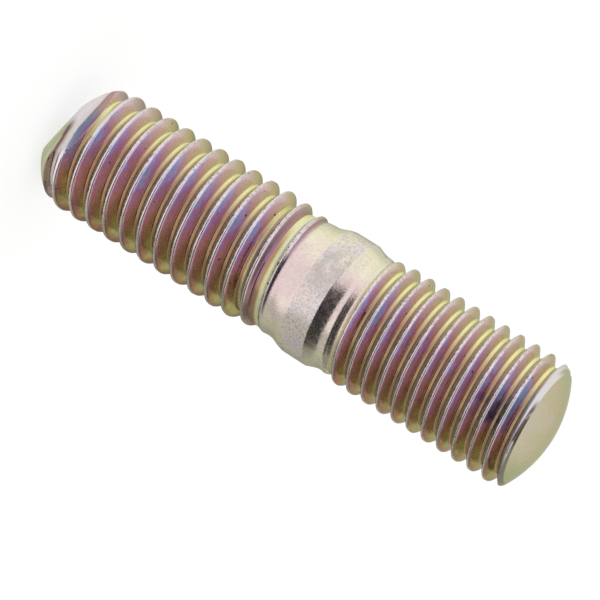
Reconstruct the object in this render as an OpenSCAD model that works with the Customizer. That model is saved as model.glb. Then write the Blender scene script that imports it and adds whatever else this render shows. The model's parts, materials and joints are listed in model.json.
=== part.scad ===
// Double-ended stud bolt for a sprocket: one solid bar with a coarse thread on its tap end,
// a plain shank with a collar, and a finer thread on its domed nut end.
// It stands on the foot of the tap end, with +Z along the axis towards the nut end.

/* [Tap end] */
// Diameter over the crests of the tap-end thread
tap_d = 9.85; // [9.2:0.05:12]
// Pitch of the tap-end thread
tap_pitch = 1.5; // [1:0.05:2]
// Length from the foot to the start of the shank
tap_len = 20.9; // [12:0.1:40]
// Length over which the tap-end thread dies away into its neck
tap_runout = 3.4; // [1:0.1:6]
// Height of the lowest tap-end crest on the -X side, above the foot
tap_start = 0.4; // [0:0.01:1]

/* [Point of the tap end] */
// Radius of the flat foot
foot_r = 2.8; // [2.2:0.05:3.6]
// Length of the rounded point above the foot
point_len = 2.8; // [1:0.1:6]
// Roundness of the point, where 1 is a plain cone
point_round = 2; // [1:0.1:4]
// How far the foot lies off the axis, towards +X
foot_offset = 0.35; // [0:0.05:0.6]
// Distance from the axis to the slanting bevel on one side of the foot
bevel_reach = 1.4; // [1.2:0.05:2.8]
// Direction of the bevel around the axis
bevel_turn = 245; // [180:1:300]
// Rise of the bevel above the floor
bevel_angle = 46; // [25:1:65]

/* [Shank] */
// Diameter of the neck beside the tap-end thread
tap_neck_d = 9; // [8:0.05:9.15]
// Diameter of the neck beside the nut-end thread
nut_neck_d = 9.16; // [8:0.05:9.4]
// Length of the straight neck beside the tap-end thread
tap_neck_len = 0.2; // [0.1:0.05:6]
// Length of the straight neck beside the nut-end thread
nut_neck_len = 0.25; // [0.1:0.05:6]
// Diameter of the collar
collar_d = 9.8; // [9.5:0.05:14]
// Length of the collar's straight part
collar_len = 1.7; // [0.5:0.05:10]
// Length of the swell from the tap-end neck to the collar
swell_len = 1.6; // [0.4:0.1:5]
// Length of the taper from the collar to the nut-end neck
taper_len = 1; // [0.4:0.05:5]

/* [Nut end] */
// Diameter over the crests of the nut-end thread
nut_d = 9.78; // [9.5:0.02:12]
// Pitch of the nut-end thread
nut_pitch = 1.25; // [0.75:0.05:1.75]
// Length from the shank to the end of the nut-end thread
nut_len = 15.2; // [8:0.05:40]
// Length over which the nut-end thread grows out of its neck
nut_runin = 1.55; // [0.8:0.05:5]
// Height of the lowest nut-end crest on the -X side, above the shank
nut_start = 0.75; // [0:0.01:1.25]
// Diameter of the unbroken middle of the domed face
rim_d = 8.2; // [6.5:0.1:8.4]
// How far the domed face lies off the axis, towards +X
rim_offset = 0.15; // [0:0.05:0.4]
// Height of the domed middle above the end of the thread
dome_h = 1; // [0.2:0.05:2]
// Diameter that the chamfer of the last crests would have at the end of the thread
chamfer_d = 8.85; // [8.5:0.05:9.4]
// Angle between the chamfer and the axis
chamfer_angle = 30; // [15:1:60]

/* [Thread form] */
// Depth of a thread, as a share of its pitch
thread_depth = 0.575; // [0.45:0.005:0.65]
// Width of a flat crest, as a share of the pitch
crest_flat = 0.125; // [0.08:0.005:0.2]
// Angle between a flank and the plane across the axis
flank_angle = 30; // [25:0.5:33]
// Sides of the round bar where it is threaded
columns = 48; // [24:4:48]

/* [Hidden] */
$fn = 96;
// Depth and clearance with which the turned pieces of the bar take in a thread's end
seam = 0.02;
// Straight strips that make up a swell or a taper
strips = 8;
// Width of a flat root, as a share of the pitch
root_flat = 1 - crest_flat - 2 * thread_depth * tan(flank_angle);
// Rows of points along the helix: the two edges of a crest, then the two edges of a root
ROWS_PER_TURN = 4;
CREST_ROWS = 2;
// Place of each row, in turns from the middle of its crest
ROW_TURNS = [-crest_flat / 2, crest_flat / 2, (1 - root_flat) / 2, (1 + root_flat) / 2];
// Turns by which the rows start below a thread's lower face
TURNS_BELOW = 2.5;

tap_neck_r = tap_neck_d / 2;
nut_neck_r = nut_neck_d / 2;
collar_r = collar_d / 2;
rim_r = rim_d / 2;
shank_len = tap_neck_len + swell_len + collar_len + taper_len + nut_neck_len;
nut_base = tap_len + shank_len;
rim_z = nut_base + nut_len;
dome_r = (rim_r * rim_r + dome_h * dome_h) / (2 * dome_h);
// Height of the middle of the dome's ball above the shank
ball_z = nut_len + dome_h - dome_r;

function clamp(x, low, high) = min(max(x, low), high);

function blend(from, to, share) = from + (to - from) * clamp(share, 0, 1);

// Distance from the axis to a circle that lies off it towards +X
function off_centre(r, offset, angle) = offset * cos(angle) + sqrt(r * r - pow(offset * sin(angle), 2));

// Radius of the rounded point, which leans towards its foot
function point_r(angle, z) =
    let (left = clamp(1 - z / point_len, 0, 1))
    off_centre(blend(tap_d / 2, foot_r, pow(left, point_round)), foot_offset * left, angle);

// Radius at which the bevel cuts the point, or the whole bar where the bevel faces away
function bevel_r(angle, z) =
    let (facing = cos(angle - bevel_turn))
    facing > 0 ? (bevel_reach + z / tan(bevel_angle)) / facing : tap_d;

// The tap-end thread is cut short by the point and the bevel below and dies away into the neck above
function tap_r(angle, z, r) =
    let (thread_r = blend(tap_neck_r - seam, r, (tap_len - z) / tap_runout))
    min(thread_r, point_r(angle, z), bevel_r(angle, z));

// Radius of the nut end, where the ball of its face and the chamfer cut the last crests short
function end_r(angle, z) =
    let (chamfer_r = chamfer_d / 2 + (nut_len - z) * tan(chamfer_angle))
    let (face_r = sqrt(dome_r * dome_r - pow(max(z - ball_z, 0), 2)) - seam)
    off_centre(min(chamfer_r, face_r), rim_offset, angle);

// The nut-end thread grows out of the neck below and is cut short by the end above
function nut_r(angle, z, r) =
    min(blend(nut_neck_r - seam, r, z / nut_runin), end_r(angle, z));

// A right-hand thread as one closed skin: columns of points around the bar, in rows that climb
// with the helix, so the last column meets the first one turn higher. Rows that would pass the
// lower or the upper face stop there.
module thread(pitch, length, start, crest_r, radius) {
    root_r = crest_r - thread_depth * pitch;
    turns = ceil(length / pitch + TURNS_BELOW) + 1;
    rows = turns * ROWS_PER_TURN;

    around = [0 : columns - 1];
    along = [0 : rows - 1];

    function height(column, row) =
        let (turn = floor(row / ROWS_PER_TURN) - TURNS_BELOW + column / columns)
        start + pitch * (turn + ROW_TURNS[row % ROWS_PER_TURN]);

    function point(column, row) =
        let (angle = 360 * column / columns)
        let (z = clamp(height(column, row), 0, length))
        let (r = radius(angle, z, row % ROWS_PER_TURN < CREST_ROWS ? crest_r : root_r))
        [r * cos(angle), r * sin(angle), z];

    // The row of each column that lies in the lower face, and the row that lies in the upper face
    first = [for (column = around) max([for (row = along) if (height(column, row) <= 0) row])];
    last = [for (column = around) min([for (row = along) if (height(column, row) >= length) row])];

    function index(column, row) =
        column == columns
            ? index(0, row + ROWS_PER_TURN)
            : column * rows + clamp(row, first[column], last[column]);

    points = [for (column = around, row = along) point(column, row)];
    flanks = [
        for (column = around, row = [0 : rows - 2])
            let (a = index(column, row), b = index(column + 1, row))
            let (c = index(column + 1, row + 1), d = index(column, row + 1))
            each [if (a != d) [a, d, c], if (b != c) [a, c, b]]
    ];
    lower_face = [for (column = around) index(column, 0)];
    upper_face = [for (column = [columns - 1 : -1 : 0]) index(column, rows - 1)];
    polyhedron(points = points, faces = concat(flanks, [lower_face, upper_face]), convexity = 20);
}

// Half outline between two radii, as points of radius and height, with its form given by ease
function slope(from_r, to_r, z, length, ease) = [
    for (strip = [0 : strips])
        let (share = strip / strips)
        [blend(from_r, to_r, ease(share)), z + length * share]
];

// The plain shank: a smooth swell up to the collar, then a crisp edge and a hollow taper
module shank() {
    collar_z = tap_neck_len + swell_len;
    taper_z = collar_z + collar_len;
    smooth = function (share) (1 - cos(180 * share)) / 2;
    hollow = function (share) 1 - pow(1 - share, 1.25);
    translate([0, 0, tap_len])
        rotate_extrude()
            polygon(concat(
                [[0, -seam], [tap_neck_r, -seam]],
                slope(tap_neck_r, collar_r, tap_neck_len, swell_len, smooth),
                slope(collar_r, nut_neck_r, taper_z, taper_len, hollow),
                [[nut_neck_r, shank_len + seam], [0, shank_len + seam]]
            ));
}

// The domed face of the nut end: a cap of a ball
module dome() {
    translate([rim_offset, 0, rim_z])
        intersection() {
            translate([0, 0, dome_h - dome_r]) sphere(r = dome_r);
            translate([-nut_d, -nut_d, -seam]) cube([2 * nut_d, 2 * nut_d, 2 * dome_h]);
        }
}

module stud() {
    color("darkkhaki") {
        thread(tap_pitch, tap_len, tap_start, tap_d / 2, function (angle, z, r) tap_r(angle, z, r));
        shank();
        translate([0, 0, nut_base])
            thread(nut_pitch, nut_len, nut_start, nut_d / 2, function (angle, z, r) nut_r(angle, z, r));
        dome();
    }
}

stud();
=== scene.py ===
"""Looks of the double-ended sprocket stud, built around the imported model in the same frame.

Sizes are in millimetres in the code and become metres when a mesh is made. The stud stands on
its tap end, so the upper flank of a thread faces the nut end. A phase tells where a point lies on
a thread, in turns from the middle of the nearest crest: below 0 under it and above 0 over it.
"""
import json
import math

import bmesh
import bpy
import numpy as np
from mathutils import Matrix, Vector, noise


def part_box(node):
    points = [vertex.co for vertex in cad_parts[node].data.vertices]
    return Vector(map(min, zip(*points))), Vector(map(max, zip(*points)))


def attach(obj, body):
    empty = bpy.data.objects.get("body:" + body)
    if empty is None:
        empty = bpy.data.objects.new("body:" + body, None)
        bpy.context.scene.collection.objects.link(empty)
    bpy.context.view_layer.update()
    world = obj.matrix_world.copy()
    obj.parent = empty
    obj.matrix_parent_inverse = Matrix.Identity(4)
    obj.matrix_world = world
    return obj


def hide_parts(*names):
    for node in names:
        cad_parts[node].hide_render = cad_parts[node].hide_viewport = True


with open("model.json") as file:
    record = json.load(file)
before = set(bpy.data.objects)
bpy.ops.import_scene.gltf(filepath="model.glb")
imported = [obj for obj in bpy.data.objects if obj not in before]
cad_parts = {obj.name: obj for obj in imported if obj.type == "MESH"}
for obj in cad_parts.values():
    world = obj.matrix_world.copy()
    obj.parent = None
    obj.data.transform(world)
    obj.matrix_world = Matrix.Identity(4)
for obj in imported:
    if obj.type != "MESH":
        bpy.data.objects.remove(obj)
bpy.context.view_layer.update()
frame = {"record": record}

MM = 0.001

# Main sizes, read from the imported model
mounts = {mount["name"]: mount for mount in frame["record"]["mounts"]}
tap_crest_r = mounts["tap_end_thread"]["dims"]["r_mm"]
nut_crest_r = mounts["nut_end_thread"]["dims"]["r_mm"]
rim_z = mounts["nut_end_thread"]["pos_m"][2] / MM
collar_r = mounts["collar"]["dims"]["r_mm"]
collar_len = mounts["collar"]["dims"]["length_mm"]
collar_mid_z = mounts["collar"]["pos_m"][2] / MM
top_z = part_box("stud")[1].z / MM

# Shank, from one thread to the other
TAP_NECK_R = 4.5
NUT_NECK_R = 4.58
TAP_NECK_LEN = 0.2
NUT_NECK_LEN = 0.25
SWELL_LEN = 1.6
TAPER_LEN = 1
TAPER_BEND = 1.25
collar_z = collar_mid_z - collar_len / 2
taper_z = collar_mid_z + collar_len / 2
taper_end_z = taper_z + TAPER_LEN
tap_len = collar_z - SWELL_LEN - TAP_NECK_LEN
nut_base_z = taper_end_z + NUT_NECK_LEN

# Threads, with a depth that is a share of the pitch and a crest whose width is in turns
TAP_PITCH = 1.5
TAP_START = 0.4
TAP_RUNOUT = 3.4
NUT_PITCH = 1.25
NUT_START = 0.75
NUT_RUNIN = 1.55
THREAD_DEPTH = 0.575
CREST_FLAT = 0.125
FLANK_ANGLE = math.radians(30)
root_edge = CREST_FLAT / 2 + THREAD_DEPTH * math.tan(FLANK_ANGLE)
# Turns from a crest to its edge on the upper flank and to the root's edge on the lower flank,
# where crest and root are a little wider
UPPER_CREST_EDGE = 0.085
LOWER_ROOT_EDGE = 0.335
# Rounding of a thread's corners, as a share of its depth
CREST_ROUNDING = 0.09
UPPER_ROOT_ROUNDING = 0.08
LOWER_ROOT_ROUNDING = 0.18
# Rolled crests fall short by this much at most, in waves of this many per millimetre
CREST_LAP = 0.06
LAP_SCALE = 0.9
# Share by which the last ridge of the tap end grows narrower as it dies away
PINCH = 0.8

# Point of the tap end and the bevel on one side of it
FOOT_R = 2.8
POINT_LEN = 2.8
POINT_ROUND = 2
FOOT_OFFSET = 0.35
BEVEL_REACH = 1.4
BEVEL_TURN = math.radians(245)
BEVEL_ANGLE = math.radians(46)
BEVEL_ROUNDING = 0.25
# Keeps the bevel's reach within bounds where it faces away
LEAST_FACING = 0.1

# Domed face and chamfer of the nut end
RIM_R = 4.1
RIM_OFFSET = 0.15
CHAMFER_R = 4.425
CHAMFER_ANGLE = math.radians(30)
dome_h = top_z - rim_z
ball_r = (RIM_R**2 + dome_h**2) / (2 * dome_h)
ball_z = top_z - ball_r

# Fineness of the mesh
COLUMNS = 144
ROWS_PER_TURN = 20
SHANK_RINGS = 44
CAP_RINGS = 12
# Turns by which the rows of a thread begin below its start
TURNS_BELOW = 2.5
# Share of the face's reach at which the mark for the face begins
FACE_SHARE = 0.985
# Edges that bend less are shaded smooth, and points that lie closer become one
SMOOTH_BELOW = math.radians(40)
WELD = 0.0005
angles = 2 * math.pi * np.arange(COLUMNS) / COLUMNS

# Kinds of surface: rolled or turned, cut by the point or the chamfer, and the domed face
PLAIN, CUT, FACE = range(3)


def blend(start, end, share):
    """Goes from start to end as share goes from 0 to 1."""
    return start + (end - start) * np.clip(share, 0, 1)


def off_centre(radius, offset, angle):
    """Distance from the axis to a circle that lies off it towards +X."""
    return offset * np.cos(angle) + np.sqrt(radius**2 - (offset * np.sin(angle)) ** 2)


def soft_max(first, second, width):
    """The larger of two values, with a rounded change from one to the other."""
    return (first + second + np.sqrt((first - second) ** 2 + width**2)) / 2


def rounded_ridge(phase):
    """Share of the thread depth at a phase, before the rounding of root and crest is made up for."""
    on_lower = np.asarray(phase) < 0
    root = np.where(on_lower, LOWER_ROOT_EDGE, root_edge)
    crest = np.where(on_lower, CREST_FLAT / 2, UPPER_CREST_EDGE)
    share = (root - np.abs(phase)) / (root - crest)
    rooted = soft_max(share, 0, np.where(on_lower, LOWER_ROOT_ROUNDING, UPPER_ROOT_ROUNDING))
    return -soft_max(-rooted, -1, CREST_ROUNDING)


def ridge(phase):
    """Share of the thread depth at a phase: 1 on a crest, 0 in a root, with rounded corners."""
    low = rounded_ridge(0.5)
    return (rounded_ridge(phase) - low) / (rounded_ridge(0) - low)


def crest_lap(angle, z, phase):
    """How far an uneven crest falls short of the full diameter."""
    near_crest = np.clip(1 - np.abs(phase) / (2 * CREST_FLAT), 0, 1)
    places = np.stack([np.cos(angle) * tap_crest_r, np.sin(angle) * tap_crest_r, z], axis=-1)
    waves = [noise.noise(Vector(place) * LAP_SCALE) for place in places.reshape(-1, 3)]
    return CREST_LAP * near_crest * np.maximum(np.reshape(waves, z.shape), 0)


def thread_r(crest_r, pitch, angle, z, phase):
    """Radius of a full thread."""
    root_r = crest_r - THREAD_DEPTH * pitch
    return blend(root_r, crest_r, ridge(phase)) - crest_lap(angle, z, phase)


def tap_thread_r(angle, z, phase):
    """Tap-end thread, dying away into its neck."""
    fading = np.clip(1 - (tap_len - z) / TAP_RUNOUT, 0, 1)
    pinched = np.clip(phase * (1 + PINCH * fading), -0.5, 0.5)
    full = thread_r(tap_crest_r, TAP_PITCH, angle, z, pinched)
    return blend(full, TAP_NECK_R, fading)


def point_r(angle, z):
    """The rounded point and the bevel that cut the tap end's first crests short."""
    left = np.clip(1 - z / POINT_LEN, 0, 1)
    point = off_centre(blend(tap_crest_r, FOOT_R, left**POINT_ROUND), FOOT_OFFSET * left, angle)
    facing = np.maximum(np.cos(angle - BEVEL_TURN), LEAST_FACING)
    bevel = (BEVEL_REACH + z / math.tan(BEVEL_ANGLE)) / facing
    return -soft_max(-point, -bevel, BEVEL_ROUNDING)


def nut_thread_r(angle, z, phase):
    """Nut-end thread, growing out of its neck."""
    full = thread_r(nut_crest_r, NUT_PITCH, angle, z, phase)
    return blend(NUT_NECK_R, full, (z - nut_base_z) / NUT_RUNIN)


def chamfer_r(angle, z):
    """The chamfer that cuts the nut end's last crests short."""
    return off_centre(CHAMFER_R + (rim_z - z) * math.tan(CHAMFER_ANGLE), RIM_OFFSET, angle)


def face_edge_z():
    """Height at which the chamfer meets the ball of which the face is a part."""
    slope = math.tan(CHAMFER_ANGLE)
    reach = CHAMFER_R + (rim_z - ball_z) * slope
    half = reach * slope / (1 + slope**2)
    return ball_z + half + math.sqrt(half**2 - (reach**2 - ball_r**2) / (1 + slope**2))


edge_z = face_edge_z()


def quads_of(index):
    """Faces between the neighbouring columns and rows of a table of point numbers."""
    corners = (index[:-1, :-1], index[1:, :-1], index[1:, 1:], index[:-1, 1:])
    return np.stack([corner.ravel() for corner in corners], axis=1)


def thread_skin(pitch, low, high, start, thread, cut):
    """A right-hand thread from one height to another, cut short by another surface.

    The rows climb with the helix, so the last column meets the first one turn higher.
    Rows that would pass the lower or the upper end stop there.
    """
    turns = math.ceil((high - low) / pitch + TURNS_BELOW) + 1
    rows = np.arange(turns * ROWS_PER_TURN)
    around = angles[:, None] / (2 * math.pi)
    height = start + pitch * (rows / ROWS_PER_TURN - TURNS_BELOW + around)
    first = np.sum(height <= low, axis=1) - 1
    last = np.sum(height < high, axis=1)

    z = np.clip(height, low, high)
    angle = np.broadcast_to(angles[:, None], z.shape)
    turn = (z - start) / pitch - around + 0.5
    rolled = thread(angle, z, turn - np.round(turn))
    r = np.minimum(rolled, cut(angle, z))
    points = np.stack([r * np.cos(angle), r * np.sin(angle), z], axis=-1)
    surface = np.where(r < rolled, CUT, PLAIN)

    index = np.arange(COLUMNS)[:, None] * len(rows) + np.clip(rows, first[:, None], last[:, None])
    seam = np.append(index[0, ROWS_PER_TURN:], np.repeat(index[0, -1], ROWS_PER_TURN))
    return points.reshape(-1, 3), quads_of(np.vstack([index, seam])), surface.ravel()


def ring_skin(rings, surfaces):
    """A stack of rings, each with one point for every column, and the kind of surface of each ring."""
    points = np.stack(rings)
    index = np.arange(points.shape[0] * COLUMNS).reshape(-1, COLUMNS)
    index = np.hstack([index, index[:, :1]])
    return points.reshape(-1, 3), quads_of(index), np.repeat(surfaces, COLUMNS)


def ring(reach, z):
    """One ring about the axis, whose reach may change around it."""
    level = np.full(COLUMNS, z)
    return np.stack([reach * np.cos(angles), reach * np.sin(angles), level], axis=1)


def shank_r(z):
    """Radius of the shank: a smooth swell up to the collar, then a crisp edge and a hollow taper."""
    if z <= taper_z:
        rise = np.clip((z - collar_z + SWELL_LEN) / SWELL_LEN, 0, 1)
        return blend(TAP_NECK_R, collar_r, (1 - math.cos(math.pi * rise)) / 2)
    fall = min((z - taper_z) / TAPER_LEN, 1)
    return blend(collar_r, NUT_NECK_R, 1 - (1 - fall) ** TAPER_BEND)


def shank_skin():
    """The plain shank between the threads."""
    heights = np.sort(np.append(np.linspace(tap_len, nut_base_z, SHANK_RINGS), taper_z))
    return ring_skin([ring(shank_r(z), z) for z in heights], [PLAIN] * len(heights))


def face_skin():
    """The nut end's face, a cap of a ball, and the walls where the last groove runs out through it."""
    turn = (edge_z - nut_base_z - NUT_START) / NUT_PITCH - angles / (2 * math.pi) + 0.5
    level = np.full(COLUMNS, edge_z)
    rolled = nut_thread_r(angles, level, turn - np.round(turn))
    outer = ring(np.minimum(rolled, chamfer_r(angles, level)), edge_z)
    centre = np.array([RIM_OFFSET, 0, edge_z])
    rings = [outer]
    for share in (1, *np.linspace(FACE_SHARE, 0, CAP_RINGS)):
        points = centre + share * (outer - centre)
        from_centre = np.hypot(points[:, 0] - RIM_OFFSET, points[:, 1])
        points[:, 2] = ball_z + np.sqrt(ball_r**2 - from_centre**2)
        rings.append(points)
    return ring_skin(rings, [CUT, CUT] + [FACE] * CAP_RINGS)


def foot_skin():
    """The flat foot of the tap end."""
    outer = ring(point_r(angles, np.zeros(COLUMNS)), 0)
    centre = np.array([FOOT_OFFSET, 0, 0])
    shares = np.linspace(1, 0, CAP_RINGS)
    return ring_skin([centre + share * (outer - centre) for share in shares], [CUT] * CAP_RINGS)


def make_stud(material):
    """One welded mesh of the whole stud, with marks for its cut surfaces and its face."""
    skins = [
        foot_skin(),
        thread_skin(TAP_PITCH, 0, tap_len, TAP_START, tap_thread_r, point_r),
        shank_skin(),
        thread_skin(NUT_PITCH, nut_base_z, edge_z, nut_base_z + NUT_START, nut_thread_r, chamfer_r),
        face_skin(),
    ]
    body = bmesh.new()
    marks = {CUT: body.verts.layers.float.new("cut"), FACE: body.verts.layers.float.new("face")}
    for points, quads, surface in skins:
        used, corners = np.unique(quads, return_inverse=True)
        vertices = [body.verts.new(point) for point in points[used] * MM]
        for vertex, kind in zip(vertices, surface[used]):
            if kind in marks:
                vertex[marks[kind]] = 1
        for face in corners.reshape(-1, 4):
            loop = list(dict.fromkeys(int(corner) for corner in face))
            if len(loop) > 2:
                body.faces.new([vertices[corner] for corner in loop])
    bmesh.ops.remove_doubles(body, verts=body.verts, dist=WELD * MM)
    bmesh.ops.recalc_face_normals(body, faces=body.faces)
    mesh = bpy.data.meshes.new("stud_skin")
    body.to_mesh(mesh)
    body.free()
    mesh.materials.append(material)
    mesh.shade_smooth()
    mesh.set_sharp_from_angle(angle=SMOOTH_BELOW)
    stud = bpy.data.objects.new("stud_skin", mesh)
    bpy.context.scene.collection.objects.link(stud)
    return stud


def tint(red, green, blue):
    """A screen colour, 0 to 255 each, as the linear colour that a shader takes."""
    shares = [value / 255 for value in (red, green, blue)]
    linear = [s / 12.92 if s <= 0.04045 else ((s + 0.055) / 1.055) ** 2.4 for s in shares]
    return (*linear, 1)


class NodeKit:
    """Short calls that add nodes to a tree and join them."""

    # Sockets of a mix node that take and give colours
    MIX_FIRST = 6
    MIX_SECOND = 7
    MIX_RESULT = 2

    def __init__(self, tree):
        self.tree = tree
        tree.nodes.clear()

    def add(self, kind, **settings):
        node = self.tree.nodes.new(kind)
        for name, value in settings.items():
            setattr(node, name, value)
        return node

    def put(self, socket, value):
        """Joins an output to a socket, or sets the socket to a plain value."""
        if isinstance(value, bpy.types.NodeSocket):
            self.tree.links.new(value, socket)
        else:
            socket.default_value = value

    def math(self, operation, *values):
        node = self.add("ShaderNodeMath", operation=operation)
        for socket, value in zip(node.inputs, values):
            self.put(socket, value)
        return node.outputs[0]

    def times(self, product, *factors):
        for factor in factors:
            product = self.math("MULTIPLY", product, factor)
        return product

    def step(self, value, low, high):
        """Rises smoothly from 0 at low to 1 at high, or falls if high is the smaller."""
        node = self.add("ShaderNodeMapRange", interpolation_type="SMOOTHSTEP")
        self.put(node.inputs["Value"], value)
        ends = (low, high, 0, 1) if low < high else (high, low, 1, 0)
        for name, end in zip(("From Min", "From Max", "To Min", "To Max"), ends):
            node.inputs[name].default_value = end
        return node.outputs["Result"]

    def band(self, value, start, full, fading, end):
        """Rises smoothly from 0 at start to 1 at full, and falls from 1 at fading to 0 at end."""
        return self.times(self.step(value, start, full), self.step(value, end, fading))

    def ramp(self, value, stops):
        node = self.add("ShaderNodeValToRGB")
        elements = node.color_ramp.elements
        while len(elements) < len(stops):
            elements.new(1)
        for element, (position, colour) in zip(elements, stops):
            element.position = position
            element.color = colour
        self.put(node.inputs["Fac"], value)
        return node.outputs["Color"]

    def mix(self, share, first, second):
        node = self.add("ShaderNodeMix", data_type="RGBA")
        self.put(node.inputs["Factor"], share)
        self.put(node.inputs[self.MIX_FIRST], first)
        self.put(node.inputs[self.MIX_SECOND], second)
        return node.outputs[self.MIX_RESULT]


# Heights between which the paint of the tap end's thread ends and that of the nut end's begins
TAP_PAINT_Z = (tap_len - 0.1, tap_len - 0.6)
NUT_PAINT_Z = (nut_base_z + 0.2, nut_base_z + 0.9 * NUT_RUNIN)
# Share of a spot's reach within which it is at full strength
SPOT_CORE = 0.2


class StudPlaces(NodeKit):
    """The places on the stud that its paint follows, in millimetres, turns and shares."""

    def __init__(self, tree):
        super().__init__(tree)
        scaled = self.add("ShaderNodeVectorMath", operation="SCALE")
        self.put(scaled.inputs[0], self.add("ShaderNodeTexCoord").outputs["Object"])
        scaled.inputs["Scale"].default_value = 1 / MM
        self.place = scaled.outputs["Vector"]
        axes = self.add("ShaderNodeSeparateXYZ")
        self.put(axes.inputs[0], self.place)
        self.x, self.y, self.z = axes.outputs
        self.angle = self.math("ARCTAN2", self.y, self.x)
        self.phase = self.thread_phase()
        on_tap_end = self.step(self.z, *TAP_PAINT_Z)
        on_nut_end = self.step(self.z, *NUT_PAINT_Z)
        self.threaded = self.math("MAXIMUM", on_tap_end, on_nut_end)

    def phase_of(self, pitch, start):
        """Phase on one thread, from -0.5 to 0.5."""
        around = self.times(self.angle, 1 / (2 * math.pi))
        turn = self.math("MULTIPLY_ADD", self.z, 1 / pitch, 0.5 - start / pitch)
        return self.math("WRAP", self.math("SUBTRACT", turn, around), 0.5, -0.5)

    def thread_phase(self):
        """Phase on the thread to which a place belongs."""
        tap = self.phase_of(TAP_PITCH, TAP_START)
        nut = self.phase_of(NUT_PITCH, nut_base_z + NUT_START)
        on_nut_end = self.math("GREATER_THAN", self.z, collar_mid_z)
        return self.math("MULTIPLY_ADD", self.math("SUBTRACT", nut, tap), on_nut_end, tap)

    def swing(self, times, turn):
        """A wave around the axis that peaks in a direction, and as often as told."""
        return self.math("COSINE", self.math("MULTIPLY_ADD", self.angle, times, -times * turn))

    def side(self, turn, low, high):
        """The side of the stud in a direction, between two cosines of the angle from it."""
        return self.step(self.swing(1, turn), low, high)

    def near(self, middle, reach):
        """Falls from 1 in the middle of a spot to 0 at its reach."""
        away = self.add("ShaderNodeVectorMath", operation="DISTANCE")
        self.put(away.inputs[0], self.place)
        away.inputs[1].default_value = middle
        return self.step(away.outputs["Value"], reach, SPOT_CORE * reach)

    def mark(self, name):
        """A mark that the mesh carries."""
        node = self.add("ShaderNodeAttribute", attribute_name=name)
        return node.outputs["Fac"]

    def noise(self, scale, detail):
        """A noise about 0.5, with features of about 1 / scale millimetres."""
        node = self.add("ShaderNodeTexNoise")
        self.put(node.inputs["Vector"], self.place)
        node.inputs["Scale"].default_value = scale
        node.inputs["Detail"].default_value = detail
        return node.outputs["Fac"]

    def spread(self, scale, detail, reach):
        """A noise about 0 that reaches about as far as given on either side."""
        return self.math("MULTIPLY_ADD", self.noise(scale, detail), 2 * reach, -reach)

    def patches(self, scale, detail, low, high):
        """Ragged patches where a noise is high."""
        return self.step(self.noise(scale, detail), low, high)


# Paint. A cover says how far a colour hides what is under it. Two limits are where a step is 0 and
# where it is 1, and the four of a band are those of NodeKit.band. Noise is given by its scale, its
# detail, and then either the reach of a spread or the two limits of patches.

# How far along its colours a film is: the middle, the swing around the axis, and the blotches
FILM_MIDDLE = 0.44
FILM_SWING = 0.4
COARSE_BLOTCHES = (0.3, 2, 0.36)
FINE_BLOTCHES = (1.6, 3, 0.2)
# Directions around the axis in which a film, and that on the opposite side, has its first colours
FLANK_FILM_TURN = math.radians(258)
SHANK_FILM_TURN = math.radians(272)


def film_share(kit, turn, blotches):
    """How far along its colours a film is."""
    wave = kit.math("MULTIPLY_ADD", kit.swing(2, turn), -FILM_SWING, FILM_MIDDLE)
    return kit.math("ADD", wave, blotches)


# Colours of the passivated zinc on a flank, in the order in which they follow each other
FILM_STOPS = (
    (0.00, tint(136, 148, 218)),
    (0.08, tint(172, 144, 216)),
    (0.17, tint(170, 118, 194)),
    (0.27, tint(176, 120, 162)),
    (0.38, tint(180, 120, 150)),
    (0.50, tint(177, 118, 138)),
    (0.60, tint(167, 115, 116)),
    (0.70, tint(157, 112, 104)),
    (0.80, tint(158, 116, 92)),
    (0.90, tint(158, 136, 92)),
    (1.00, tint(166, 160, 105)),
)
# How far the film's colours move on from one crest to the next, and how far back they start
FILM_PER_TURN = 0.9
FILM_LAG = 0.12
# The film where it is thin and paler also as painted light on the side the light comes from, by turns from
# the crest below, and the gold of a root
THIN_AND_LIT_STOPS = (
    (0.10, tint(232, 218, 218)),
    (0.25, tint(230, 206, 196)),
    (0.40, tint(228, 212, 152)),
)
ROOT_STOPS = (
    (0.44, tint(196, 146, 116)),
    (0.52, tint(166, 138, 100)),
    (0.58, tint(182, 164, 122)),
    (0.66, tint(232, 220, 174)),
)
ROOT_BAND = (0.38, 0.44, 0.66, 0.72)
THIN_AND_LIT_ROOT_COLOUR = tint(240, 238, 178)
# Direction in which the film of the flanks is thin and the flanks are drawn lighter as painted light, and
# the cosines of the angle from it between which the thin film, the edge colour and the paler tones of
# lower flank and root, partly painted light, come in
THIN_AND_LIT_TURN = math.radians(170)
THIN_AND_LIT_FILM_AT = (0, 1)
THIN_AND_LIT_FILM_COVER = 0.78
EDGE_AT = (0.75, 0.98)
THIN_AND_LIT_LOWER_AT = (-0.2, 0.6)
THIN_AND_LIT_ROOT_AT = (0, 0.7)
# The edge colour, which is mauve instead near the point
EDGE_COLOUR = tint(190, 178, 134)
MAUVE_EDGE_COLOUR = tint(184, 158, 160)
MAUVE_EDGE_Z = (7, 2.5)
# Lower flanks, paler on the -X side partly as painted light
LOWER_COLOUR = tint(242, 244, 204)
THIN_AND_LIT_LOWER_COLOUR = tint(252, 254, 236)
LOWER_BAND = (-0.47, -0.41, -0.08, 0.02)
# Violet part of the first flank of the tap end
VIOLET_COLOUR = tint(140, 118, 192)
VIOLET_AT = (0.4, -4.5, 2.3)
VIOLET_REACH = 2.4
VIOLET_COVER = 0.8


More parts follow.
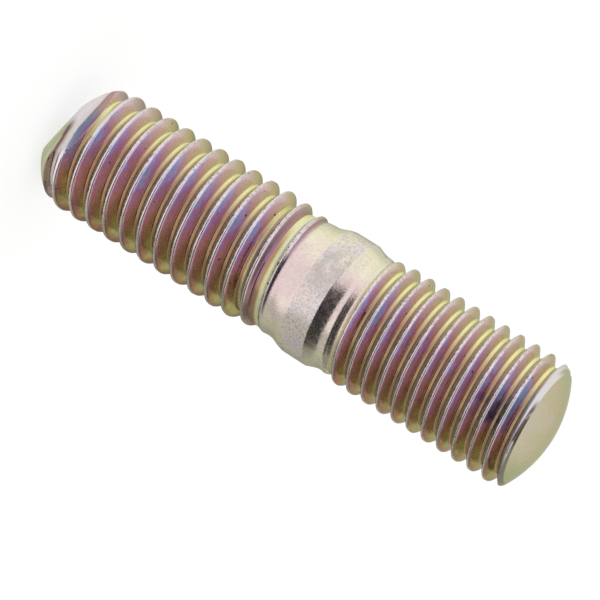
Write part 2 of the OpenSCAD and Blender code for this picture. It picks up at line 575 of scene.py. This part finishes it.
def flank_colour(kit, film, thin_and_lit_side):
    """A coloured film on the upper flanks, gold in the roots and pale on the lower flanks, all paler
    towards -X partly as a thinner film and partly as painted light.
    """
    past_crest = kit.math("WRAP", kit.phase, 0.75, -0.25)
    start = kit.math("SUBTRACT", film, FILM_LAG)
    colour = kit.ramp(kit.math("MULTIPLY_ADD", past_crest, FILM_PER_TURN, start), FILM_STOPS)
    # Paler film towards -X: partly a thinner film, partly painted light
    thin = kit.times(kit.step(thin_and_lit_side, *THIN_AND_LIT_FILM_AT), THIN_AND_LIT_FILM_COVER)
    colour = kit.mix(thin, colour, kit.ramp(past_crest, THIN_AND_LIT_STOPS))
    edge = kit.mix(kit.step(kit.z, *MAUVE_EDGE_Z), EDGE_COLOUR, MAUVE_EDGE_COLOUR)
    colour = kit.mix(kit.step(thin_and_lit_side, *EDGE_AT), colour, edge)
    violet = kit.times(kit.near(VIOLET_AT, VIOLET_REACH), VIOLET_COVER)
    colour = kit.mix(violet, colour, VIOLET_COLOUR)
    # Lower flanks paler towards -X, partly painted light
    lower = kit.mix(kit.step(thin_and_lit_side, *THIN_AND_LIT_LOWER_AT), LOWER_COLOUR, THIN_AND_LIT_LOWER_COLOUR)
    colour = kit.mix(kit.band(kit.phase, *LOWER_BAND), colour, lower)
    root = kit.ramp(past_crest, ROOT_STOPS)
    # Roots paler towards -X, partly painted light
    root = kit.mix(kit.step(thin_and_lit_side, *THIN_AND_LIT_ROOT_AT), root, THIN_AND_LIT_ROOT_COLOUR)
    return kit.mix(kit.band(past_crest, *ROOT_BAND), colour, root)


# Pits in the upper flanks
PIT_COLOUR = tint(92, 52, 56)
PITS = (1.9, 1, 0.75, 0.78)
PIT_BAND = (0.11, 0.14, 0.36, 0.39)
# Dull upper flanks where the tap end's thread dies away
RUNOUT_COLOUR = tint(154, 122, 124)
RUNOUT_COVER = 0.75
RUNOUT_BAND = (0.02, 0.08, 0.38, 0.44)
runout_z = tap_len - 0.6 * TAP_RUNOUT
RUNOUT_Z_BAND = (runout_z - 0.4, runout_z, tap_len, tap_len + 0.4)
# Painted shade: a dark spot in the last groove but one of the nut end
GROOVE_SHADE_COLOUR = tint(66, 70, 104)
GROOVE_SHADE_AT = (0.6, -4.3, 38.6)
GROOVE_SHADE_REACH = 2
GROOVE_SHADE_COVER = 0.75
GROOVE_SHADE_PATCHES = (1.1, 4, 0.3, 0.6)


def marked_flanks(kit, colour):
    """Flanks with pits, a dull run-out and a dark spot of painted shade in a groove."""
    pits = kit.times(kit.patches(*PITS), kit.band(kit.phase, *PIT_BAND))
    colour = kit.mix(pits, colour, PIT_COLOUR)
    runout = kit.times(kit.band(kit.z, *RUNOUT_Z_BAND), kit.band(kit.phase, *RUNOUT_BAND), RUNOUT_COVER)
    colour = kit.mix(runout, colour, RUNOUT_COLOUR)
    # Painted shade in a groove of the nut end
    groove_shade = kit.times(kit.near(GROOVE_SHADE_AT, GROOVE_SHADE_REACH), kit.patches(*GROOVE_SHADE_PATCHES), GROOVE_SHADE_COVER)
    return kit.mix(groove_shade, colour, GROOVE_SHADE_COLOUR)


# Crests, by how far along its colours the film is, and the flecks on them where the film is thin
CREST_STOPS = (
    (0.05, tint(240, 228, 232)),
    (0.45, tint(226, 214, 208)),
    (0.90, tint(190, 185, 162)),
)
CREST_BAND = (-0.05, 0, 0.08, 0.12)
THIN_CREST_AT = (-0.3, 0.4)
FLECKS = (5, 4, 0.4, 0.65)
FLECK_COVER = 0.7
# The seam under each crest, and its specks, which end where the film is thin
SEAM_COLOUR = tint(176, 162, 150)
THIN_SEAM_COLOUR = tint(232, 226, 210)
SEAM_BAND = (-0.12, -0.09, -0.03, 0)
SPECK_COLOUR = tint(58, 48, 42)
SPECKS = (6, 2, 0.5, 0.62)
SPECKS_AT = (1.1, 0)


def marked_crests(kit, colour, film, thin_and_lit_side):
    """Pale, flecked crests with a speckled seam, over the colour of the flanks."""
    thin = kit.step(thin_and_lit_side, *THIN_CREST_AT)
    flecks = kit.times(kit.patches(*FLECKS), thin, FLECK_COVER)
    crest = kit.mix(flecks, kit.ramp(film, CREST_STOPS), SEAM_COLOUR)
    colour = kit.mix(kit.band(kit.phase, *CREST_BAND), colour, crest)
    on_seam = kit.band(kit.phase, *SEAM_BAND)
    colour = kit.mix(on_seam, colour, kit.mix(thin, SEAM_COLOUR, THIN_SEAM_COLOUR))
    specks = kit.times(kit.patches(*SPECKS), kit.step(thin_and_lit_side, *SPECKS_AT), on_seam)
    return kit.mix(specks, colour, SPECK_COLOUR)


def thread_colour(kit, blotches):
    """Colour of both threads."""
    film = film_share(kit, FLANK_FILM_TURN, blotches)
    # Side towards -X, where the film is thin and the flanks are drawn lighter as painted light
    thin_and_lit_side = kit.swing(1, THIN_AND_LIT_TURN)
    flanks = marked_flanks(kit, flank_colour(kit, film, thin_and_lit_side))
    return marked_crests(kit, flanks, film, thin_and_lit_side)


# Film on the shank
PALE_STOPS = (
    (0.04, tint(234, 211, 208)),
    (0.13, tint(238, 216, 213)),
    (0.37, tint(246, 235, 214)),
    (0.65, tint(236, 233, 200)),
    (0.83, tint(218, 218, 196)),
)
# Clouds on the collar, and a painted reflection: a soft grey patch on one side of it
COLLAR_COLOUR = tint(230, 221, 220)
COLLAR_BAND = (collar_z - 0.32, collar_z - 0.2, taper_z, taper_z + 0.12)
CLOUDS = (0.7, 4, 0.35, 0.6)
PAINTED_REFLECTION_COLOUR = tint(196, 187, 182)
PAINTED_REFLECTION_TURN = math.radians(249)
PAINTED_REFLECTION_AT = (0.88, 0.99)
PAINTED_REFLECTION_PATCHES = (1.3, 5, 0.3, 0.62)
PAINTED_REFLECTION_COVER = 0.75
# Grain of the shank, and how much more of it the collar has
GRAIN_COLOUR = tint(184, 176, 170)
GRAINS = (6, 5, 0.4, 0.75)
GRAIN_COVER = 0.35
MORE_GRAIN = 0.45


def shank_colour(kit, blotches):
    """Pale satin film, with clouds and a painted grey reflection on the collar, and a fine grain."""
    colour = kit.ramp(film_share(kit, SHANK_FILM_TURN, blotches), PALE_STOPS)
    on_collar = kit.band(kit.z, *COLLAR_BAND)
    colour = kit.mix(kit.times(on_collar, kit.patches(*CLOUDS)), colour, COLLAR_COLOUR)
    # Painted reflection: a grey patch on one side of the collar
    painted_reflection = kit.times(on_collar, kit.side(PAINTED_REFLECTION_TURN, *PAINTED_REFLECTION_AT), kit.patches(*PAINTED_REFLECTION_PATCHES), PAINTED_REFLECTION_COVER)
    colour = kit.mix(painted_reflection, colour, PAINTED_REFLECTION_COLOUR)
    cover = kit.math("MULTIPLY_ADD", on_collar, MORE_GRAIN, GRAIN_COVER)
    return kit.mix(kit.times(kit.patches(*GRAINS), cover), colour, GRAIN_COLOUR)


# Bands across the point, from the bare tip over a dark groove and a pale edge to the first flank
POINT_STOPS = (
    (0.08, tint(208, 212, 182)),
    (0.13, tint(204, 192, 182)),
    (0.17, tint(122, 92, 98)),
    (0.25, tint(126, 96, 98)),
    (0.31, tint(196, 172, 174)),
    (0.43, tint(244, 235, 240)),
    (0.60, tint(244, 238, 240)),
    (0.65, tint(154, 164, 188)),
    (0.76, tint(124, 138, 188)),
    (0.90, tint(130, 112, 160)),
    (1.00, tint(140, 104, 128)),
)
# Height of the highest band, how much higher the bands lie on the +X side, and how ragged they are
POINT_BANDS_Z = 2.7
POINT_BANDS_LIFT = 0.8
LIFTED_X = (-1, 1.8)
RAGGED = (1.6, 4, 0.12)
# Bare metal and a mauve flank on the -X side, and a paler groove on the +X side
CUT_COLOUR = tint(250, 243, 250)
CUT_X = (-0.3, -1.4)
CUT_AT = (0.5, 0.42)
MAUVE_COLOUR = tint(192, 158, 158)
MAUVE_X = (-1.4, -3.2)
MAUVE_AT = (0.6, 0.66)
GROOVE_COLOUR = tint(184, 168, 166)
GROOVE_X = (0.8, 2.4)
GROOVE_BAND = (0.14, 0.17, 0.27, 0.3)
GROOVE_COVER = 0.45
# The lower bands go all round, and the others stay on the cut surfaces
ALL_ROUND_AT = (0.42, 0.37)
POINT_PAINT_Z = (3.4, 3)


def point_colour(kit):
    """Bands across the point, and how far they cover what lies under them."""
    lift = kit.times(kit.step(kit.x, *LIFTED_X), POINT_BANDS_LIFT)
    height = kit.math("ADD", kit.math("SUBTRACT", kit.z, lift), kit.spread(*RAGGED))
    along = kit.times(height, 1 / POINT_BANDS_Z)
    colour = kit.ramp(along, POINT_STOPS)
    bare = kit.times(kit.step(kit.x, *CUT_X), kit.step(along, *CUT_AT))
    colour = kit.mix(bare, colour, CUT_COLOUR)
    groove = kit.times(kit.step(kit.x, *GROOVE_X), kit.band(along, *GROOVE_BAND), GROOVE_COVER)
    colour = kit.mix(groove, colour, GROOVE_COLOUR)
    mauve = kit.times(kit.step(kit.x, *MAUVE_X), kit.step(along, *MAUVE_AT))
    colour = kit.mix(mauve, colour, MAUVE_COLOUR)
    cover = kit.math("MAXIMUM", kit.mark("cut"), kit.step(along, *ALL_ROUND_AT))
    return colour, kit.times(cover, kit.step(kit.z, *POINT_PAINT_Z))


# Chamfer of the nut end, with painted shade on its +X side and the face's colour on the -X side
RIM_COLOUR = tint(228, 222, 222)
RIM_Z = (edge_z - 0.3, edge_z - 0.15)
PAINTED_SHADE_COLOUR = tint(112, 106, 95)
SHADED_RIM_TURN = math.radians(350)
SHADED_RIM_AT = (0.6, 0.85)
SHADED_RIM_COVER = 0.6
FACE_TOP_COLOUR = tint(190, 188, 162)
FACE_TOP_X = (-3.6, -4.3)
FACE_TOP_Z = (edge_z - 0.3, edge_z - 0.16)
# Dirt on both sides of the edge between the chamfer and the face
RIM_DIRT_TURN = math.radians(276)
RIM_DIRT_AT = (0.88, 0.97)
RIM_DIRT_Z = (edge_z - 0.18, edge_z - 0.08)
RIM_SPECKS = (1, 7, 0.36, 0.56)
RIM_DIRT_COVER = 0.85


def rim_dirt(kit):
    """Dark specks on one side of the nut end."""
    return kit.times(kit.side(RIM_DIRT_TURN, *RIM_DIRT_AT), kit.patches(*RIM_SPECKS), RIM_DIRT_COVER)


def rim_colour(kit):
    """Bare chamfer of the nut end: darkened with painted shade on one side, green on the other, and dirty
    beside the face.
    """
    # Painted shade: the chamfer drawn darker on its +X side, away from the light
    painted_shade = kit.times(kit.side(SHADED_RIM_TURN, *SHADED_RIM_AT), SHADED_RIM_COVER)
    colour = kit.mix(painted_shade, RIM_COLOUR, PAINTED_SHADE_COLOUR)
    green = kit.times(kit.step(kit.x, *FACE_TOP_X), kit.step(kit.z, *FACE_TOP_Z))
    colour = kit.mix(green, colour, FACE_TOP_COLOUR)
    dirt = kit.times(kit.step(kit.z, *RIM_DIRT_Z), rim_dirt(kit))
    return kit.mix(dirt, colour, SPECK_COLOUR)


# Film on the face: its colours, and how far along them it is in the middle, towards +Y and away from x = 0
FACE_STOPS = (
    (0.10, tint(200, 190, 168)),
    (0.38, tint(196, 186, 152)),
    (0.60, tint(185, 194, 156)),
    (0.88, tint(174, 197, 168)),
)
FACE_MIDDLE = 0.42
FACE_BACKWARD = 0.09
FACE_OUTWARD = 0.015
FACE_CLOUDS = (0.6, 5, 0.5)
FACE_MOTTLES = (3, 3, 0.45)
# Painted shade: the face drawn darker towards +X
FACE_SHADE_COLOUR = tint(164, 172, 134)
FACE_SHADE_X = (1.5, 4.5)
FACE_SHADE_COVER = 0.8
# Pale edge of the face, outside a circle that lies off the axis towards -X, and painted shade on one side
# of it
FACE_EDGE_COLOUR = tint(206, 206, 194)
FACE_EDGE_SHIFT = 0.1
FACE_EDGE_AT = (4.38, 4.46)
SHADED_EDGE_TURN = math.radians(315)
SHADED_EDGE_AT = (0.5, 0.72)
SHADED_EDGE_COVER = 0.9


def face_edge_colour(kit):
    """Pale edge of the domed face, with painted shade and dirt on one side."""
    # Painted shade: the face's edge drawn darker on one side, away from the light
    painted_shade = kit.times(kit.side(SHADED_EDGE_TURN, *SHADED_EDGE_AT), SHADED_EDGE_COVER)
    colour = kit.mix(painted_shade, FACE_EDGE_COLOUR, PAINTED_SHADE_COLOUR)
    return kit.mix(rim_dirt(kit), colour, SPECK_COLOUR)


def face_colour(kit):
    """Clouded film on the domed face, greener towards the back and darker towards +X as painted shade, and
    the face's edge.
    """
    backward = kit.math("MULTIPLY_ADD", kit.y, FACE_BACKWARD, FACE_MIDDLE)
    outward = kit.times(kit.x, kit.x, FACE_OUTWARD)
    clouds = kit.math("ADD", kit.spread(*FACE_CLOUDS), kit.spread(*FACE_MOTTLES))
    film = kit.math("ADD", kit.math("ADD", backward, outward), clouds)
    colour = kit.ramp(film, FACE_STOPS)
    # Painted shade towards +X
    colour = kit.mix(kit.times(kit.step(kit.x, *FACE_SHADE_X), FACE_SHADE_COVER), colour, FACE_SHADE_COLOUR)
    shifted = kit.math("ADD", kit.x, FACE_EDGE_SHIFT)
    away = kit.math("SQRT", kit.math("MULTIPLY_ADD", shifted, shifted, kit.times(kit.y, kit.y)))
    return kit.mix(kit.step(away, *FACE_EDGE_AT), colour, face_edge_colour(kit))


def stud_colour(kit):
    """Colour of the plating all over the stud."""
    blotches = kit.math("ADD", kit.spread(*COARSE_BLOTCHES), kit.spread(*FINE_BLOTCHES))
    colour = kit.mix(kit.threaded, shank_colour(kit, blotches), thread_colour(kit, blotches))
    on_rim = kit.math("MAXIMUM", kit.mark("cut"), kit.step(kit.z, *RIM_Z))
    colour = kit.mix(on_rim, colour, rim_colour(kit))
    point, covered = point_colour(kit)
    colour = kit.mix(covered, colour, point)
    return kit.mix(kit.mark("face"), colour, face_colour(kit))


# Roughness of the metal, its blotches, and how much more the lower flanks have
ROUGHNESS = 0.27
ROUGHNESS_BLOTCHES = (2.5, 4, 0.12)
SATIN = 0.25
SATIN_BAND = (-0.38, -0.33, -0.1, -0.05)
SATIN_Z = (edge_z, edge_z - 0.1)
# Height of the grain in millimetres, its strength and noise, and how much less of it the threads have
GRAIN_HEIGHT = 0.025
GRAIN_STRENGTH = 0.6
GRAIN_NOISE = (7, 4)
ROLLED_SMOOTH = 0.75
# Colour of the metal at a grazing angle
GRAZING_TINT = (0.7, 0.68, 0.56, 1)


def roughness(kit):
    """Satin lower flanks, and blotches all over."""
    on_lower = kit.times(kit.threaded, kit.band(kit.phase, *SATIN_BAND), kit.step(kit.z, *SATIN_Z))
    even = kit.math("MULTIPLY_ADD", on_lower, SATIN, ROUGHNESS)
    return kit.math("ADD", kit.spread(*ROUGHNESS_BLOTCHES), even)


def grain(kit):
    """A fine grain, weaker on the rolled threads than on the shank."""
    bump = kit.add("ShaderNodeBump")
    bump.inputs["Strength"].default_value = GRAIN_STRENGTH
    bump.inputs["Distance"].default_value = GRAIN_HEIGHT * MM
    share = kit.math("MULTIPLY_ADD", kit.threaded, -ROLLED_SMOOTH, 1)
    kit.put(bump.inputs["Height"], kit.times(kit.noise(*GRAIN_NOISE), share))
    return bump.outputs["Normal"]


def paint_stud():
    """Yellow zinc on rolled steel: pale crests, a coloured film on the flanks and a satin shank."""
    material = bpy.data.materials.new("yellow_zinc_steel")
    material.use_nodes = True
    kit = StudPlaces(material.node_tree)
    shader = kit.add("ShaderNodeBsdfPrincipled")
    shader.inputs["Metallic"].default_value = 1
    shader.inputs["Specular Tint"].default_value = GRAZING_TINT
    kit.put(shader.inputs["Base Color"], stud_colour(kit))
    kit.put(shader.inputs["Roughness"], roughness(kit))
    kit.put(shader.inputs["Normal"], grain(kit))
    output = kit.add("ShaderNodeOutputMaterial")
    kit.put(output.inputs["Surface"], shader.outputs["BSDF"])
    return material


# Studio, with a floor that lies a hair below the foot and reaches this many metres each way
FLOOR_HALF = 3
FLOOR_DROP = 0.01
FLOOR_COLOUR = (0.35, 0.35, 0.35, 1)
FLOOR_GLOW = 0.7
WORLD_COLOUR = (1, 1, 1, 1)
WORLD_STRENGTH = 0.95


def plane(name, material, centre, right, up):
    """A flat card, given its centre and the two vectors from there to its edges, in metres."""
    corners = [centre + a * right + b * up for a, b in ((-1, -1), (1, -1), (1, 1), (-1, 1))]
    mesh = bpy.data.meshes.new(name)
    mesh.from_pydata(corners, [], [(0, 1, 2, 3)])
    mesh.materials.append(material)
    card = bpy.data.objects.new(name, mesh)
    bpy.context.scene.collection.objects.link(card)
    return card


def make_floor():
    """A white floor that keeps the stud's shadow and looks as white in the metal as to the eye."""
    material = bpy.data.materials.new("floor_white")
    material.use_nodes = True
    kit = NodeKit(material.node_tree)
    matt = kit.add("ShaderNodeBsdfDiffuse")
    matt.inputs["Color"].default_value = FLOOR_COLOUR
    light = kit.add("ShaderNodeLightPath")
    seen = kit.math("MAXIMUM", light.outputs["Is Camera Ray"], light.outputs["Is Glossy Ray"])
    seen = kit.math("MAXIMUM", seen, light.outputs["Is Transmission Ray"])
    glow = kit.add("ShaderNodeEmission")
    kit.put(glow.inputs["Strength"], kit.math("MULTIPLY", seen, FLOOR_GLOW))
    both = kit.add("ShaderNodeAddShader")
    kit.put(both.inputs[0], matt.outputs["BSDF"])
    kit.put(both.inputs[1], glow.outputs["Emission"])
    output = kit.add("ShaderNodeOutputMaterial")
    kit.put(output.inputs["Surface"], both.outputs["Shader"])
    plane(
        "floor",
        material,
        Vector((0, 0, -FLOOR_DROP * MM)),
        Vector((FLOOR_HALF, 0, 0)),
        Vector((0, FLOOR_HALF, 0)),
    )


# Cards that the metal mirrors: direction from the front towards +X in degrees and width in millimetres,
# then the lower and the upper edge, each as its distance from the axis and its height
CARDS = {
    "card_black": dict(turn=38, width=1560, foot=(400, 32), head=(400, 480), grey=0.02),
    "card_side": dict(turn=122, width=330, foot=(400, 32), head=(400, 430), grey=0.5),
    "card_low": dict(turn=128, width=220, foot=(14, 0.5), head=(60, 26), grey=0.6),
}


def make_card(name, turn, width, foot, head, grey):
    """A card that stands beside the stud and is seen only in the metal."""
    material = bpy.data.materials.new(name)
    material.use_nodes = True
    shader = material.node_tree.nodes["Principled BSDF"]
    shader.inputs["Base Color"].default_value = (grey, grey, grey, 1)
    shader.inputs["Roughness"].default_value = 1
    turn = math.radians(turn)
    outward = Vector((math.sin(turn), -math.cos(turn), 0))
    side = Vector((math.cos(turn), math.sin(turn), 0))
    low, high = [outward * away + Vector((0, 0, height)) for away, height in (foot, head)]
    card = plane(name, material, (low + high) / 2 * MM, side * width / 2 * MM, (high - low) / 2 * MM)
    card.visible_camera = False
    card.visible_diffuse = False
    card.visible_shadow = False


def make_world():
    """An even white tent."""
    world = bpy.data.worlds.new("tent")
    world.use_nodes = True
    background = world.node_tree.nodes["Background"]
    background.inputs["Color"].default_value = WORLD_COLOUR
    background.inputs["Strength"].default_value = WORLD_STRENGTH
    bpy.context.scene.world = world


# Camera, set from the photograph's view of the threads
CAMERA_AT = Vector((1.23, -175.0, 73.1))
CAMERA_DIP = math.radians(16.41)
CAMERA_ROLL = math.radians(122.29)
FOCAL_PIXELS = 2600
PICTURE_PIXELS = 600
SENSOR = 36
# Nearest distance that the camera sees, in metres
CLIP_START = 0.01


def make_camera():
    """A camera that looks down at the stud and is rolled, so that the axis runs across the picture."""
    forward = Vector((0, math.cos(CAMERA_DIP), -math.sin(CAMERA_DIP)))
    upright = Vector((0, math.sin(CAMERA_DIP), math.cos(CAMERA_DIP)))
    level = Vector((1, 0, 0))
    right = level * math.cos(CAMERA_ROLL) + upright * math.sin(CAMERA_ROLL)
    up = right.cross(forward)
    data = bpy.data.cameras.new("camera")
    data.sensor_width = SENSOR
    data.lens = SENSOR * FOCAL_PIXELS / PICTURE_PIXELS
    data.clip_start = CLIP_START
    camera = bpy.data.objects.new("camera", data)
    turn = Matrix((right, up, -forward)).transposed().to_4x4()
    camera.matrix_world = Matrix.Translation(CAMERA_AT * MM) @ turn
    bpy.context.scene.collection.objects.link(camera)
    bpy.context.scene.camera = camera


stud = make_stud(paint_stud())
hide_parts("stud")
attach(stud, "root")
make_floor()
for card_name, card in CARDS.items():
    make_card(card_name, **card)
make_world()
make_camera()
bpy.context.scene.view_settings.view_transform = "Standard"
